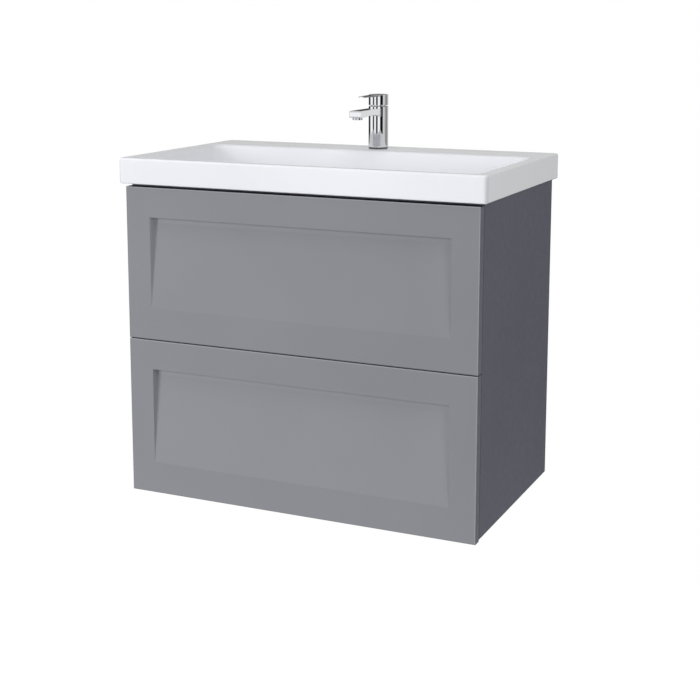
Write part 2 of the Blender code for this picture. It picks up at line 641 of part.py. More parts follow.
def drawer_box(word, parent):
    low, high = DRAWERS[word]["box"]
    outer = SIDE_IN_X - FIT - RUNNER_W
    inner = outer - DRAWER_SIDE_T
    front = FRONT_BACK_Y + FIT
    back = front + DRAWER_LENGTH
    for side, side_word in ((-1, "left"), (1, "right")):
        x = sorted((side * inner, side * outer))
        box(f"drawer_side_{word}_{side_word}", (x[0], front, low), (x[1], back, high), BOX_BOARD, parent)
    reach = inner - FIT
    bottom = box("drawer_bottom_" + word, (-reach, front, low + 0.003), (reach, back, low + 0.003 + BOTTOM_T),
                 BOX_BOARD, parent)
    floor = low + 0.003 + BOTTOM_T + FIT
    back_y = (back - DRAWER_SIDE_T, back)
    if word == "lower":
        box("drawer_back_lower", (-reach, back_y[0], floor), (reach, back_y[1], high), BOX_BOARD, parent)
        return
    cut(bottom, box("trap_cutout", (-CUTOUT_HALF_W, CUTOUT_FRONT_Y, low - 0.05),
                    (CUTOUT_HALF_W, back + 0.05, high), None, cutter=True))
    outside = CUTOUT_HALF_W + SURROUND_T
    front_edge = CUTOUT_FRONT_Y - SURROUND_T
    wall = [(-outside, back), (-outside, front_edge), (outside, front_edge), (outside, back),
            (CUTOUT_HALF_W, back), (CUTOUT_HALF_W, CUTOUT_FRONT_Y), (-CUTOUT_HALF_W, CUTOUT_FRONT_Y),
            (-CUTOUT_HALF_W, back)]
    outlined("trap_surround", [wall], (floor, high), "XY", BOX_BOARD, parent)
    for side, side_word in ((-1, "left"), (1, "right")):
        x = sorted((side * (outside + FIT), side * reach))
        box("drawer_back_upper_" + side_word, (x[0], back_y[0], floor), (x[1], back_y[1], high),
            BOX_BOARD, parent)


def drawers():
    for word in DRAWERS:
        z = DRAWERS[word]["runner"]
        slide = empty(f"{word}_drawer_slide", (0, FRONT_Y, z))
        middle = empty(f"{word}_middle_slide", (0, FRONT_Y, z))
        bpy.context.view_layer.update()
        drawer_front(word, slide)
        drawer_box(word, slide)
        for side, side_word in ((-1, "left"), (1, "right")):
            runner(word, side, side_word, middle, slide)


def main():
    carcass()
    for side, word in ((-1, "left"), (1, "right")):
        hanger(side, word)
    wall_rail()
    basin()
    overflow_ring()
    waste()
    trap()
    mixer_body()
    mixer_fixing()
    mixer_control()
    drawers()


main()
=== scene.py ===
"""Looks of a wall-hung bathroom vanity: lacquered drawer fronts, a glazed basin and a chrome mixer.

Metres, +Z up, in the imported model's frame. The wall is at +Y and the drawer fronts face -Y.
"""

import json
import math

import bmesh
import bpy
from mathutils import Matrix, Vector

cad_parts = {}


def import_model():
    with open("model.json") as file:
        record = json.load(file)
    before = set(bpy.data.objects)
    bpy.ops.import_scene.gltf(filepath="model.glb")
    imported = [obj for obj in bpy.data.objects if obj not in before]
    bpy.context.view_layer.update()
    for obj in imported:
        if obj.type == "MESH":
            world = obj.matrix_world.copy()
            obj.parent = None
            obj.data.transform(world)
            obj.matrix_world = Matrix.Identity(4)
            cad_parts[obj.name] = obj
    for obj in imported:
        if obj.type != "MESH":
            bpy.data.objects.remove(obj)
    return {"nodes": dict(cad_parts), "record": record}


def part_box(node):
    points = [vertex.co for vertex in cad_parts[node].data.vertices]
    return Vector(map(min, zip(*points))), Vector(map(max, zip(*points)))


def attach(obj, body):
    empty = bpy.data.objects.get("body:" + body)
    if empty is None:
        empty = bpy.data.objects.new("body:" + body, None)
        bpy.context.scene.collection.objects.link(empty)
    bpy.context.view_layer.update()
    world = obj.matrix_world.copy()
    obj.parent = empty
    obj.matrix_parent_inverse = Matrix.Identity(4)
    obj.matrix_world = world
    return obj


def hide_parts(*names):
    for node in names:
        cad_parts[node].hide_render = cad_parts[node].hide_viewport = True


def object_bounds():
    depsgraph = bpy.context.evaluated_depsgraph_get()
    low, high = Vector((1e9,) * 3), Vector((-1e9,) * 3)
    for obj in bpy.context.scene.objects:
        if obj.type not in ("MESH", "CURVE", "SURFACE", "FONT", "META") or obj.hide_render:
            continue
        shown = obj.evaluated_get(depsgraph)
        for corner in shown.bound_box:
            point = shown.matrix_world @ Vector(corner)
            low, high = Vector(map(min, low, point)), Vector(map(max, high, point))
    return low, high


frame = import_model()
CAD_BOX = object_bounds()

NODES = frame["nodes"]

# Colours, linear
LACQUER_GREY = (0.252, 0.256, 0.279)
# Painted light: a lighter grey mixed into each recess floor, standing for the light that floor catches
PAINTED_LIGHT_GREY = tuple(c * 1.5 for c in LACQUER_GREY)  # only a small share of it is mixed in
# Painted highlight and shade along the fronts' arrises: colour scale at the shaded and lit ends, and the
# values that mark them
ARRIS_LIGHT_TONES = (0.62, 1.38)
ARRIS_HIGHLIGHT = 1.0
ARRIS_SHADE = -0.6
# Partly painted shade: the carcass board is taken as the fronts' grey, set darker so its side panels look
# shaded
CARCASS_GREY_AND_SHADE = (0.138, 0.142, 0.176)
BOARD_GREY = (0.52, 0.53, 0.55)
GLAZE_WHITE = (0.855, 0.865, 0.905)
CHROME_TINT = (0.88, 0.89, 0.91)
ZINC = (0.62, 0.63, 0.65)
BRASS = (0.72, 0.53, 0.25)
DARK = (0.035, 0.036, 0.040)
BLACK_RUBBER = (0.022, 0.022, 0.023)
# Painted shadow: near-black on the upper front's top edge, for the dark gap under the basin
GAP_SHADOW_BLACK = (0.004, 0.004, 0.004)
FLOOR_WHITE = (0.15, 0.15, 0.15)

# Basin
BASIN_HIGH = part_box("basin")[1]
RIM_Z = BASIN_HIGH.z
APRON_H = 0.0545
APRON_Z = RIM_Z - APRON_H
BOWL_HALF_W = 0.385
BOWL_HALF_D = 0.173
BOWL_Y = -0.048
BOWL_DEPTH = 0.112
BOWL_TAPER = (0.075, 0.055)  # how far the walls lean in: evenly with depth, and mostly near the floor
BOWL_CORNER = (0.022, 0.045)  # radius of the corners at the rim, and how much it grows towards the floor
LIP = 0.006
DRAIN_Y = 0.0
DRAIN_FALL = 0.003
DRAIN_RING_R = 0.036
DRAIN_HOLE_R = 0.0240
END_FILLET = 0.035  # how far the bowl's ends sweep in where they meet its floor
SHELL_T = 0.012
DECK_T = 0.014
POCKET_HALF_W = 0.377
POCKET_Y = (-0.195, BASIN_HIGH.y - 0.020)
TAP_HOLE_R = 0.0175
OVERFLOW_HOLE_R = 0.0125
OVERFLOW_SHARE = 0.28  # where the overflow sits, as a share of the bowl's depth

# Drawer fronts: a recess that is deepest under the top rail and runs out above the lower rail
STILE = 0.0565
RAIL_TOP = 0.0635
RAIL_LOW = 0.0670
RECESS_DEPTH = 0.015
# Painted light: share of a lighter grey on each recess's floor, for the extra light its upward-leaning floor
# catches, and bands beside its steep walls that get more of it, painted against the shade that falls there:
# (further share, width)
RECESS_PAINTED_LIGHT = {"upper": 0.05, "lower": 0.14}
TOP_PAINTED_LIGHT_BAND = (0.55, 0.012)
RIGHT_PAINTED_LIGHT_BAND = (0.34, 0.065)
# How far each wall runs out for every metre of depth
LEFT_RUN = {"upper": 0.80, "lower": 0.40}
RIGHT_RUN = 0.06
TOP_RUN = 0.06
WALL_ROUND = 0.4  # share of each side wall's profile that is an S-curve; the rest is straight
ARRIS = 0.0012
# width of the painted highlight and shade along the arrises
ARRIS_LIGHT_W = 0.0016
BACK_EASE = 0.0005

# Mixer
TAP_LOW, TAP_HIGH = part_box("mixer_gasket")
TAP_Y = (TAP_LOW.y + TAP_HIGH.y) / 2
TAP_R = 0.0220
BODY_Z = RIM_Z + 0.0021
BODY_TOP = RIM_Z + 0.0945
CAP_Z = BODY_TOP + 0.0025
CAP_TOP = RIM_Z + 0.121
SPOUT_REACH = 0.130
SPOUT_HALF_W = 0.014
AERATOR_REACH = 0.115
LEVER_REACH = 0.097

# Waste and trap
TRAP_R = 0.031
TRAP_BORE = 0.0164
TRAP_TOP = 0.510
TUBE_R = (0.0145, 0.0160)
TUBE_FOOT = 0.432
NUT_Z = (0.533, 0.560)
NUT_FLOOR = 0.5362
CUP_FOOT = 0.398
CUP_TOP = 0.4522
LEVEL = math.pi / 2  # lean of a turned piece whose axis runs along +Y
HARD = 1e-5  # softening of a corner that stays sharp


# Materials


class NodeTree:
    """A node tree that takes new nodes and links."""

    def __init__(self, tree):
        self.tree = tree

    def node(self, kind, **settings):
        made = self.tree.nodes.new(kind)
        for key, value in settings.items():
            setattr(made, key, value)
        return made

    def link(self, source, target):
        self.tree.links.new(source, target)


class Finish(NodeTree):
    """A Principled material and the procedural detail that feeds it, in metres of object space."""

    def __init__(self, name, colour, roughness, metallic=0.0):
        self.material = bpy.data.materials.new(name)
        self.material.use_nodes = True
        super().__init__(self.material.node_tree)
        self.shader = self.tree.nodes["Principled BSDF"]
        self.place = self.tree.nodes.new("ShaderNodeTexCoord").outputs["Object"]
        self.colour = colour
        self.roughness = roughness
        self.set("Base Color", (*colour, 1.0))
        self.set("Roughness", roughness)
        self.set("Metallic", metallic)

    def set(self, socket, value):
        self.shader.inputs[socket].default_value = value
        return self

    def stretched(self, scale):
        mapping = self.node("ShaderNodeMapping")
        self.link(self.place, mapping.inputs["Vector"])
        mapping.inputs["Scale"].default_value = scale
        return mapping.outputs["Vector"]

    def noise(self, scale, detail=2.0, rough=0.5, stretch=None):
        made = self.node("ShaderNodeTexNoise")
        self.link(self.stretched(stretch) if stretch else self.place, made.inputs["Vector"])
        made.inputs["Scale"].default_value = scale
        made.inputs["Detail"].default_value = detail
        made.inputs["Roughness"].default_value = rough
        return made.outputs["Fac"]

    def cells(self, scale):
        made = self.node("ShaderNodeTexVoronoi")
        self.link(self.place, made.inputs["Vector"])
        made.inputs["Scale"].default_value = scale
        return made.outputs["Color"]

    def remap(self, value, low, high, start=0.3, end=0.7):
        made = self.node("ShaderNodeMapRange")
        self.link(value, made.inputs["Value"])
        for socket, number in (("From Min", start), ("From Max", end), ("To Min", low), ("To Max", high)):
            made.inputs[socket].default_value = number
        return made.outputs["Result"]

    def blend(self, factor, one, other):
        """Mix of two colours, or of a socket's colour with a colour."""
        made = self.node("ShaderNodeMix", data_type="RGBA")
        self.link(factor, made.inputs["Factor"])
        for socket, value in zip((made.inputs[6], made.inputs[7]), (one, other)):
            if isinstance(value, tuple):
                socket.default_value = (*value, 1.0)
            else:
                self.link(value, socket)
        return made.outputs[2]

    def scaled(self, colour, level):
        """A colour socket multiplied by a number socket."""
        made = self.node("ShaderNodeVectorMath", operation="SCALE")
        self.link(colour, made.inputs[0])
        self.link(level, made.inputs["Scale"])
        return made.outputs[0]

    def attribute(self, name):
        return self.node("ShaderNodeAttribute", attribute_name=name).outputs["Fac"]

    def tint(self, amount, value):
        """The finish's colour, darker and lighter by amount where value says."""
        dark = tuple(c * (1 - amount) for c in self.colour)
        light = tuple(min(1.0, c * (1 + amount)) for c in self.colour)
        return self.blend(self.remap(value, 0.0, 1.0), dark, light)

    def paint(self, colour):
        self.link(colour, self.shader.inputs["Base Color"])
        return self

    def gloss(self, value, spread):
        low = max(0.0, self.roughness - spread)
        self.link(self.remap(value, low, self.roughness + spread), self.shader.inputs["Roughness"])
        return self

    def relief(self, *layers):
        """Bumps stacked in order: each layer is (height, strength, distance in metres)."""
        normal = None
        for height, strength, distance in layers:
            made = self.node("ShaderNodeBump")
            made.inputs["Strength"].default_value = strength
            made.inputs["Distance"].default_value = distance
            self.link(height, made.inputs["Height"])
            if normal:
                self.link(normal, made.inputs["Normal"])
            normal = made.outputs["Normal"]
        self.link(normal, self.shader.inputs["Normal"])
        return self


def lacquer():
    """Satin lacquer on fibreboard: a faint orange peel, a fine fleck and slow clouding, with painted light
    and shade from vertex layers.
    """
    made = Finish("grey_lacquer", LACQUER_GREY, 0.50)
    made.set("Specular IOR Level", 0.30)
    clouds = made.tint(0.020, made.noise(5.0))
    fleck = made.remap(made.noise(900.0, 3.0, 0.6), 0.0, 0.10)
    flecked = made.blend(fleck, clouds, tuple(c * 0.72 for c in LACQUER_GREY))
    # Painted light: the recess floor mixed towards a lighter grey
    face = made.blend(made.attribute("recess"), flecked, PAINTED_LIGHT_GREY)
    # Painted highlight on the top and right arrises, painted shade on the left and bottom ones
    arris_lit = made.scaled(face, made.remap(made.attribute("painted_arris_light"), *ARRIS_LIGHT_TONES, start=-1.0, end=1.0))
    # Painted shade: the slab's edge faces and back get the darker carcass grey so they look shaded
    edge_shaded = made.blend(made.attribute("edge_shade"), arris_lit, CARCASS_GREY_AND_SHADE)
    # Painted shadow: the upper front's top edge black, for the gap under the basin
    made.paint(made.blend(made.attribute("gap_shadow"), edge_shaded, GAP_SHADOW_BLACK))
    made.gloss(made.noise(60.0, 3.0), 0.05)
    made.relief((made.noise(260.0, 1.0), 0.06, 0.0004), (made.noise(1400.0, 2.0), 0.05, 0.0002))
    return made.material


def melamine():
    """Melamine-faced chipboard with a fine pearled press texture."""
    made = Finish("grey_melamine", CARCASS_GREY_AND_SHADE, 0.58)
    made.set("Specular IOR Level", 0.18)
    clouds = made.tint(0.025, made.noise(4.0))
    pores = made.remap(made.noise(1100.0, 2.0, 0.7), 0.0, 0.16)
    made.paint(made.blend(pores, clouds, tuple(c * 0.70 for c in CARCASS_GREY_AND_SHADE)))
    made.gloss(made.noise(90.0, 3.0), 0.06)
    made.relief((made.noise(700.0, 2.0), 0.12, 0.0003))
    return made.material


def drawer_board():
    """Light grey board with a printed linen weave."""
    made = Finish("drawer_board", BOARD_GREY, 0.55)
    warp = made.noise(260.0, 2.0, 0.5, stretch=(6.0, 0.35, 6.0))
    weft = made.noise(260.0, 2.0, 0.5, stretch=(0.35, 6.0, 0.35))
    woven = made.blend(made.remap(warp, 0.0, 1.0), tuple(c * 0.86 for c in BOARD_GREY), BOARD_GREY)
    thread = tuple(min(1.0, c * 1.10) for c in BOARD_GREY)
    made.paint(made.blend(made.remap(weft, 0.0, 0.6), woven, thread))
    made.gloss(made.noise(40.0), 0.05)
    made.relief((warp, 0.10, 0.0003), (weft, 0.08, 0.0003))
    return made.material


def ceramic():
    """White glaze over fireclay: glassy, with the slow waviness of a fired surface."""
    made = Finish("white_ceramic", GLAZE_WHITE, 0.07)
    made.set("IOR", 1.52)
    made.set("Coat Weight", 0.35)
    made.set("Coat Roughness", 0.04)
    made.paint(made.tint(0.010, made.noise(7.0)))
    made.gloss(made.noise(22.0, 3.0), 0.02)
    made.relief((made.noise(16.0, 1.0), 0.03, 0.0010), (made.noise(420.0, 1.0), 0.01, 0.0001))
    return made.material


def chrome():
    """Polished plate with the faint haze of wiped water marks."""
    made = Finish("chrome", CHROME_TINT, 0.045, 1.0)
    made.paint(made.tint(0.015, made.noise(30.0)))
    made.gloss(made.noise(75.0, 4.0, 0.6), 0.025)
    made.relief((made.noise(90.0, 1.0), 0.015, 0.0004))
    return made.material


def zinc_steel():
    """Zinc-plated sheet: small crystal facets of different brightness and fine rolling lines."""
    made = Finish("zinc_steel", ZINC, 0.34, 1.0)
    facets = made.cells(300.0)
    grain = made.noise(500.0, 3.0, 0.5, stretch=(1.0, 0.04, 1.0))
    spangle = made.tint(0.10, facets)
    made.paint(made.blend(made.remap(grain, 0.0, 0.25), spangle, tuple(c * 0.75 for c in ZINC)))
    made.gloss(grain, 0.09)
    made.relief((grain, 0.06, 0.0002))
    return made.material


def brass():
    """Turned brass with tool lines round it and a little tarnish."""
    made = Finish("brass", BRASS, 0.28, 1.0)
    lines = made.noise(900.0, 2.0, 0.5, stretch=(0.05, 0.05, 1.0))
    tarnish = made.noise(160.0, 3.0)
    made.paint(made.blend(made.remap(tarnish, 0.0, 0.5), BRASS, tuple(c * 0.62 for c in BRASS)))
    made.gloss(lines, 0.10)
    made.relief((lines, 0.10, 0.0002))
    return made.material


def moulded(name, colour, roughness):
    """Injection-moulded plastic or rubber with a fine spark-eroded texture."""
    made = Finish(name, colour, roughness)
    made.paint(made.tint(0.12, made.noise(40.0, 3.0)))
    made.gloss(made.noise(300.0, 2.0), 0.06)
    made.relief((made.noise(1600.0, 2.0), 0.15, 0.0002))
    return made.material


def floor_finish():
    made = Finish("floor", FLOOR_WHITE, 0.8)
    made.set("Specular IOR Level", 0.1)
    made.paint(made.tint(0.004, made.noise(1.5)))
    made.set("Emission Color", (1.0, 1.0, 1.0, 1.0))
    made.set("Emission Strength", FLOOR_GLOW)
    return made.material


FINISHES = {
    "grey_lacquer": lacquer(),
    "grey_melamine": melamine(),
    "drawer_board": drawer_board(),
    "white_ceramic": ceramic(),
    "chrome": chrome(),
    "zinc_steel": zinc_steel(),
    "dark_plastic": moulded("dark_plastic", DARK, 0.42),
    "rubber": moulded("rubber", BLACK_RUBBER, 0.75),
    "brass": brass(),
}


# Mesh helpers


def piece(name, mesh, slot, body, *nodes, smooth_angle=30.0):
    """A finished piece: shaded, painted, riding on its body and standing for its CAD nodes."""
    obj = bpy.data.objects.new(name, mesh)
    bpy.context.scene.collection.objects.link(obj)
    mesh.materials.clear()
    mesh.materials.append(FINISHES[slot])
    mesh.shade_smooth()
    mesh.set_sharp_from_angle(angle=math.radians(smooth_angle))
    flats = obj.modifiers.new("flats", "WEIGHTED_NORMAL")
    flats.keep_sharp = True
    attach(obj, body)
    if nodes:
        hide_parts(*nodes)


def mesh_of(bm, name):
    bmesh.ops.remove_doubles(bm, verts=bm.verts, dist=1e-6)
    bmesh.ops.recalc_face_normals(bm, faces=bm.faces)
    mesh = bpy.data.meshes.new(name)
    bm.to_mesh(mesh)
    bm.free()
    return mesh


def skin(name, rings, closed=False):
    """A skin of quads through rings of equal point count; closed joins the last ring to the first."""
    bm = bmesh.new()
    rows = [[bm.verts.new(point) for point in ring] for ring in rings]
    count = len(rows[0])
    pairs = list(zip(rows, rows[1:]))
    if closed:
        pairs.append((rows[-1], rows[0]))
    for upper, lower in pairs:
        for i in range(count):
            j = (i + 1) % count
            bm.faces.new((upper[i], upper[j], lower[j], lower[i]))
    if not closed:
        bm.faces.new(rows[0])
        bm.faces.new(rows[-1])
    return mesh_of(bm, name)


def softened(outline, radius, closed=True, steps=4):
    """The outline with rounded corners; radius is one number, or a list with a number for each corner."""
    points = [Vector(p) for p in outline]
    count = len(points)
    radii = radius if isinstance(radius, list) else [radius] * count
    made = []
    for i, corner in enumerate(points):
        if not closed and i in (0, count - 1):
            made.append(corner)
            continue
        before = points[i - 1] - corner
        after = points[(i + 1) % count] - corner
        start = corner + before.normalized() * min(radii[i], before.length * 0.42)
        end = corner + after.normalized() * min(radii[i], after.length * 0.42)
        for step in range(steps + 1):
            t = step / steps
            made.append(start * (1 - t) ** 2 + corner * 2 * t * (1 - t) + end * t * t)
    return made


def lathe(name, profile, at, soft=0.0006, ring=False, lean=0.0, steps=64):
    """A turned shape from (radius, height) points; lean turns its axis from +Z towards +Y."""
    outline = softened(profile, soft, closed=ring)
    bm = bmesh.new()
    rows = []
    for point in outline:
        if point.x < 1e-7:
            rows.append([bm.verts.new((0.0, 0.0, point.y))] * steps)
            continue
        turns = (2 * math.pi * i / steps for i in range(steps))
        rows.append([bm.verts.new((point.x * math.cos(a), point.x * math.sin(a), point.y)) for a in turns])
    pairs = list(zip(rows, rows[1:]))
    if ring:
        pairs.append((rows[-1], rows[0]))
    for upper, lower in pairs:
        for i in range(steps):
            j = (i + 1) % steps
            corners = []
            for vert in (upper[i], upper[j], lower[j], lower[i]):
                if vert not in corners:
                    corners.append(vert)
            if len(corners) > 2:
                bm.faces.new(corners)
    bmesh.ops.rotate(bm, verts=bm.verts, matrix=Matrix.Rotation(-lean, 3, "X"))
    bmesh.ops.translate(bm, verts=bm.verts, vec=Vector(at))
    return mesh_of(bm, name)


def cylinder(radius, low, high):
    return [(0, high), (radius, high), (radius, low), (0, low)]


def sleeve(inner, outer, low, high):
    return [(outer, high), (outer, low), (inner, low), (inner, high)]


def prism(name, outline, span, place, edge=0.0):
    """An outline pushed through span, its points set in space by place(u, v, w), with rounded end edges."""
    bm = bmesh.new()
    low = [bm.verts.new(place(u, v, span[0])) for u, v in outline]
    high = [bm.verts.new(place(u, v, span[1])) for u, v in outline]
    ends = [bm.faces.new(low), bm.faces.new(high)]
    count = len(outline)
    for i in range(count):
        j = (i + 1) % count
        bm.faces.new((low[i], low[j], high[j], high[i]))
    if edge:
        rims = [e for face in ends for e in face.edges]
        bmesh.ops.bevel(bm, geom=rims, offset=edge, segments=3, affect="EDGES", profile=0.5)
    return mesh_of(bm, name)


def along_x(u, v, w):
    return (w, u, v)


def combined(name, base, operations):
    """One mesh from a base mesh and a list of (operation, mesh) pairs."""
    body = bpy.data.objects.new(name, base)
    bpy.context.scene.collection.objects.link(body)
    helpers = []
    for i, (operation, mesh) in enumerate(operations):
        helper = bpy.data.objects.new(f"{name}_helper_{i}", mesh)
        bpy.context.scene.collection.objects.link(helper)
        helpers.append(helper)
        step = body.modifiers.new(helper.name, "BOOLEAN")
        step.operation = operation
        step.object = helper
    bpy.context.view_layer.update()
    graph = bpy.context.evaluated_depsgraph_get()
    made = bpy.data.meshes.new_from_object(body.evaluated_get(graph))
    for obj in [body, *helpers]:
        bpy.data.objects.remove(obj)
    return made


# Flat panels and drawer boxes keep their CAD meshes, with eased edges


def eased(name, slot, width):
    """A CAD node with its finish and a small round on its sharp edges."""
    obj = NODES[name]
    paint(name, slot)
    weld = obj.modifiers.new("weld", "WELD")
    weld.merge_threshold = 1e-5
    bevel = obj.modifiers.new("ease", "BEVEL")
    bevel.width = width
    bevel.segments = 2
    bevel.limit_method = "ANGLE"
    bevel.angle_limit = math.radians(50)
    bevel.harden_normals = True


def paint(name, slot):
    materials = NODES[name].data.materials
    materials.clear()
    materials.append(FINISHES[slot])


def cad_finishes():
    """Every CAD node gets its finish; panels and boards get eased edges as well."""
    for row in frame["record"]["subparts"]:
        name, slot = row["node"], row["material_slot"]
        if slot in ("grey_melamine", "drawer_board"):
            eased(name, slot, 0.0006)
        elif any(word in name for word in ("rail", "bracket", "nut", "washer")):
            eased(name, slot, 0.0003)
        else:
            paint(name, slot)


# Drawer fronts


def lines_between(start, end, count):
    return [start + (end - start) * i / count for i in range(count)]


def front_lines(low, high, recess_low, recess_high, soft_low, soft_high):
    """Grid lines across a front, close together at its arrises and at the recess's two edges.

    The soft pairs say how far the close lines reach outside and inside each edge of the recess.
    """
    ease = [ARRIS * share for share in (0.0, 0.15, 0.4, 0.7, 1.0)]
    lines = [low + e for e in ease]
    lines += lines_between(low + ARRIS * 2, recess_low - soft_low[0], 6)
    lines += lines_between(recess_low - soft_low[0], recess_low + soft_low[1], 22)
    lines += lines_between(recess_low + soft_low[1], recess_high - soft_high[1], 16)
    lines += lines_between(recess_high - soft_high[1], recess_high + soft_high[0], 22)
    lines += lines_between(recess_high + soft_high[0], high - ARRIS * 2, 6)
    lines += [high - ARRIS * 2] + [high - e for e in reversed(ease)]
    return lines


def smooth_step(t):
    t = min(max(t, 0.0), 1.0)
    return t * t * (3 - 2 * t)


def arris_drop(edge):
    """How far the face falls back at a distance from the slab's edge, along a quarter round."""
    if edge >= ARRIS:
        return 0.0
    return ARRIS - math.sqrt(ARRIS * ARRIS - (ARRIS - edge) ** 2)


class Front:
    """Sizes of one drawer front: its box and its recess, whose middle is at x = 0."""

    def __init__(self, word):
        self.word = word
        self.low, self.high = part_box("drawer_front_" + word)
        self.inner_x = self.high.x - STILE
        self.inner_low = self.low.z + RAIL_LOW
        self.inner_high = self.high.z - RAIL_TOP

    def depth(self, x, z):
        """How deep the recess is at a point of the face."""
        share = (z - self.inner_low) / (self.inner_high - self.inner_low)
        depth = RECESS_DEPTH * min(max(share, 0.0), 1.0)
        run = LEFT_RUN[self.word] if x < 0 else RIGHT_RUN
        side = min(max((self.inner_x - abs(x)) / (0.0006 + run * depth), 0.0), 1.0)
        side = (1 - WALL_ROUND) * side + WALL_ROUND * smooth_step(side)
        top = smooth_step((self.inner_high - z) / (0.0004 + TOP_RUN * depth))
        return depth * side * top

    def fall(self, x, z):
        """How far the rounded arrises bring the face back at a point."""
        edge = min(x - self.low.x, self.high.x - x)
        height = min(z - self.low.z, self.high.z - z)
        return max(arris_drop(edge), arris_drop(height))

    def painted_light_share(self, x, z):
        """Share of the painted light at a point of the face: a lighter grey on the recess floor, with more of
        it in bands beside the steep walls, painted against the shade there.
        """
        shaded = min(self.inner_x - x, self.inner_high - z)
        open_side = min(self.inner_x + x, z - self.inner_low)
        bands = ((self.inner_high - z, TOP_PAINTED_LIGHT_BAND), (self.inner_x - x, RIGHT_PAINTED_LIGHT_BAND))
        band = max(level * (1 - smooth_step(away / width)) for away, (level, width) in bands)
        band *= self.depth(x, z) / RECESS_DEPTH
        within = min(smooth_step(shaded / 0.0008), smooth_step(open_side / 0.004))
        return (RECESS_PAINTED_LIGHT[self.word] + band) * within

    def arris_light_at(self, x, z):
        """Painted highlight on the right and top arrises, painted shade on the left and bottom ones."""
        if min(self.high.x - x, self.high.z - z) < ARRIS_LIGHT_W:
            return ARRIS_HIGHLIGHT
        if min(x - self.low.x, z - self.low.z) < ARRIS_LIGHT_W:
            return ARRIS_SHADE
        return 0.0

    def grid(self, bm, painted_light_layer, arris_lit):
        """Rows of vertices over the face, from the bottom up."""
        low, high = self.low, self.high
        xs = front_lines(low.x, high.x, -self.inner_x, self.inner_x, (0.002, 0.014), (0.002, 0.004))
        zs = front_lines(low.z, high.z, self.inner_low, self.inner_high, (0.006, 0.008), (0.001, 0.003))
        rows = []
        for z in zs:
            row = []
            for x in xs:
                vert = bm.verts.new((x, low.y + self.depth(x, z) + self.fall(x, z), z))
                vert[painted_light_layer] = self.painted_light_share(x, z)
                vert[arris_lit] = self.arris_light_at(x, z)
                row.append(vert)
            rows.append(row)
        return rows

    def back_loops(self, bm, rim):
        """The loop behind the slab's edge and the smaller one round its back face."""
        low, high = self.low, self.high
        edge = [bm.verts.new((v.co.x, high.y - BACK_EASE, v.co.z)) for v in rim]
        face = []
        for v in rim:
            x = min(max(v.co.x, low.x + BACK_EASE), high.x - BACK_EASE)
            z = min(max(v.co.z, low.z + BACK_EASE), high.z - BACK_EASE)
            face.append(bm.verts.new((x, high.y, z)))
        return edge, face


def drawer_front(word):
    """A slab whose recess is inclined: flush at its lower edge and deepest under the top rail."""
    front = Front(word)
    bm = bmesh.new()
    # Vertex layers of painted light and shade: a lighter recess floor, shaded edge faces, a black painted
    # shadow on the upper front's top edge, and highlight and shade along the arrises
    painted_light_layer, edge_shaded, gap_shadowed, arris_lit = (
        bm.verts.layers.float.new(layer) for layer in ("recess", "edge_shade", "gap_shadow", "painted_arris_light"))
    grid = front.grid(bm, painted_light_layer, arris_lit)
    for lower, upper in zip(grid, grid[1:]):
        for i in range(len(lower) - 1):
            bm.faces.new((lower[i], lower[i + 1], upper[i + 1], upper[i]))
    right = [row[-1] for row in grid[:-1]]
    left = [row[0] for row in grid[:0:-1]]
    rim = grid[0][:-1] + right + grid[-1][:0:-1] + left
    edge, face = front.back_loops(bm, rim)
    # Painted shade on the slab's edge faces and back
    for v in rim + edge + face:
        v[edge_shaded] = 1.0
        # Black painted shadow along the upper front's top edge, in the gap under the basin
        if word == "upper" and v.co.z > front.high.z - ARRIS:
            v[gap_shadowed] = 1.0
    for one, other in ((rim, edge), (edge, face)):
        for i in range(len(rim)):
            j = (i + 1) % len(rim)
            bm.faces.new((one[i], one[j], other[j], other[i]))
    bm.faces.new(face)
    name = "front_" + word
    nodes = (word + "_drawer", "drawer_front_" + word)
    piece(name, mesh_of(bm, name), "grey_lacquer", *nodes, smooth_angle=40)


# Basin


def outline_ring(half_w, half_d, radius, centre_y, z, arc=10, straight=8):
    """A rectangle with round corners, anticlockwise from +X, its straight sides divided evenly."""
    points = []
    corners = ((1, 1), (-1, 1), (-1, -1), (1, -1))
    for quarter, (sx, sy) in enumerate(corners):
        for i in range(arc + 1):
            a = math.pi / 2 * (quarter + i / arc)
            x = sx * (half_w - radius) + radius * math.cos(a)
            y = sy * (half_d - radius) + radius * math.sin(a)
            points.append(Vector((x, centre_y + y, z)))
        nx, ny = corners[(quarter + 1) % 4]
        a = math.pi / 2 * (quarter + 1)
        start = points[-1]
        end = Vector((nx * (half_w - radius) + radius * math.cos(a),
                      centre_y + ny * (half_d - radius) + radius * math.sin(a), z))
        for i in range(1, straight):
            points.append(start.lerp(end, i / straight))
    return points


def bowl_ring(u, offset=0.0, z=None):
    """Outline of the bowl at depth share u, grown outwards by offset."""
    inset = BOWL_TAPER[0] * u + BOWL_TAPER[1] * u**4
    half_w = BOWL_HALF_W - inset - END_FILLET * u**24 + offset
    half_d = BOWL_HALF_D - inset + offset
    centre_y = BOWL_Y + (DRAIN_Y - BOWL_Y) * u**2 * 0.9
    radius = min(BOWL_CORNER[0] + BOWL_CORNER[1] * u + offset / 2, half_d * 0.98)
    return outline_ring(half_w, half_d, radius, centre_y, RIM_Z - BOWL_DEPTH * u if z is None else z)


def arc_steps(count):
    return [math.pi / 2 * i / count for i in range(count + 1)]


def drain_circle(radius, z):
    """A circle whose points keep the order and rough direction of a basin ring's points."""
    made = []
    for point in bowl_ring(1.0):
        a = math.atan2((point.y - DRAIN_Y) * 1.8, point.x * 0.9)
        made.append(Vector((radius * math.cos(a), DRAIN_Y + radius * math.sin(a), z)))
    return made


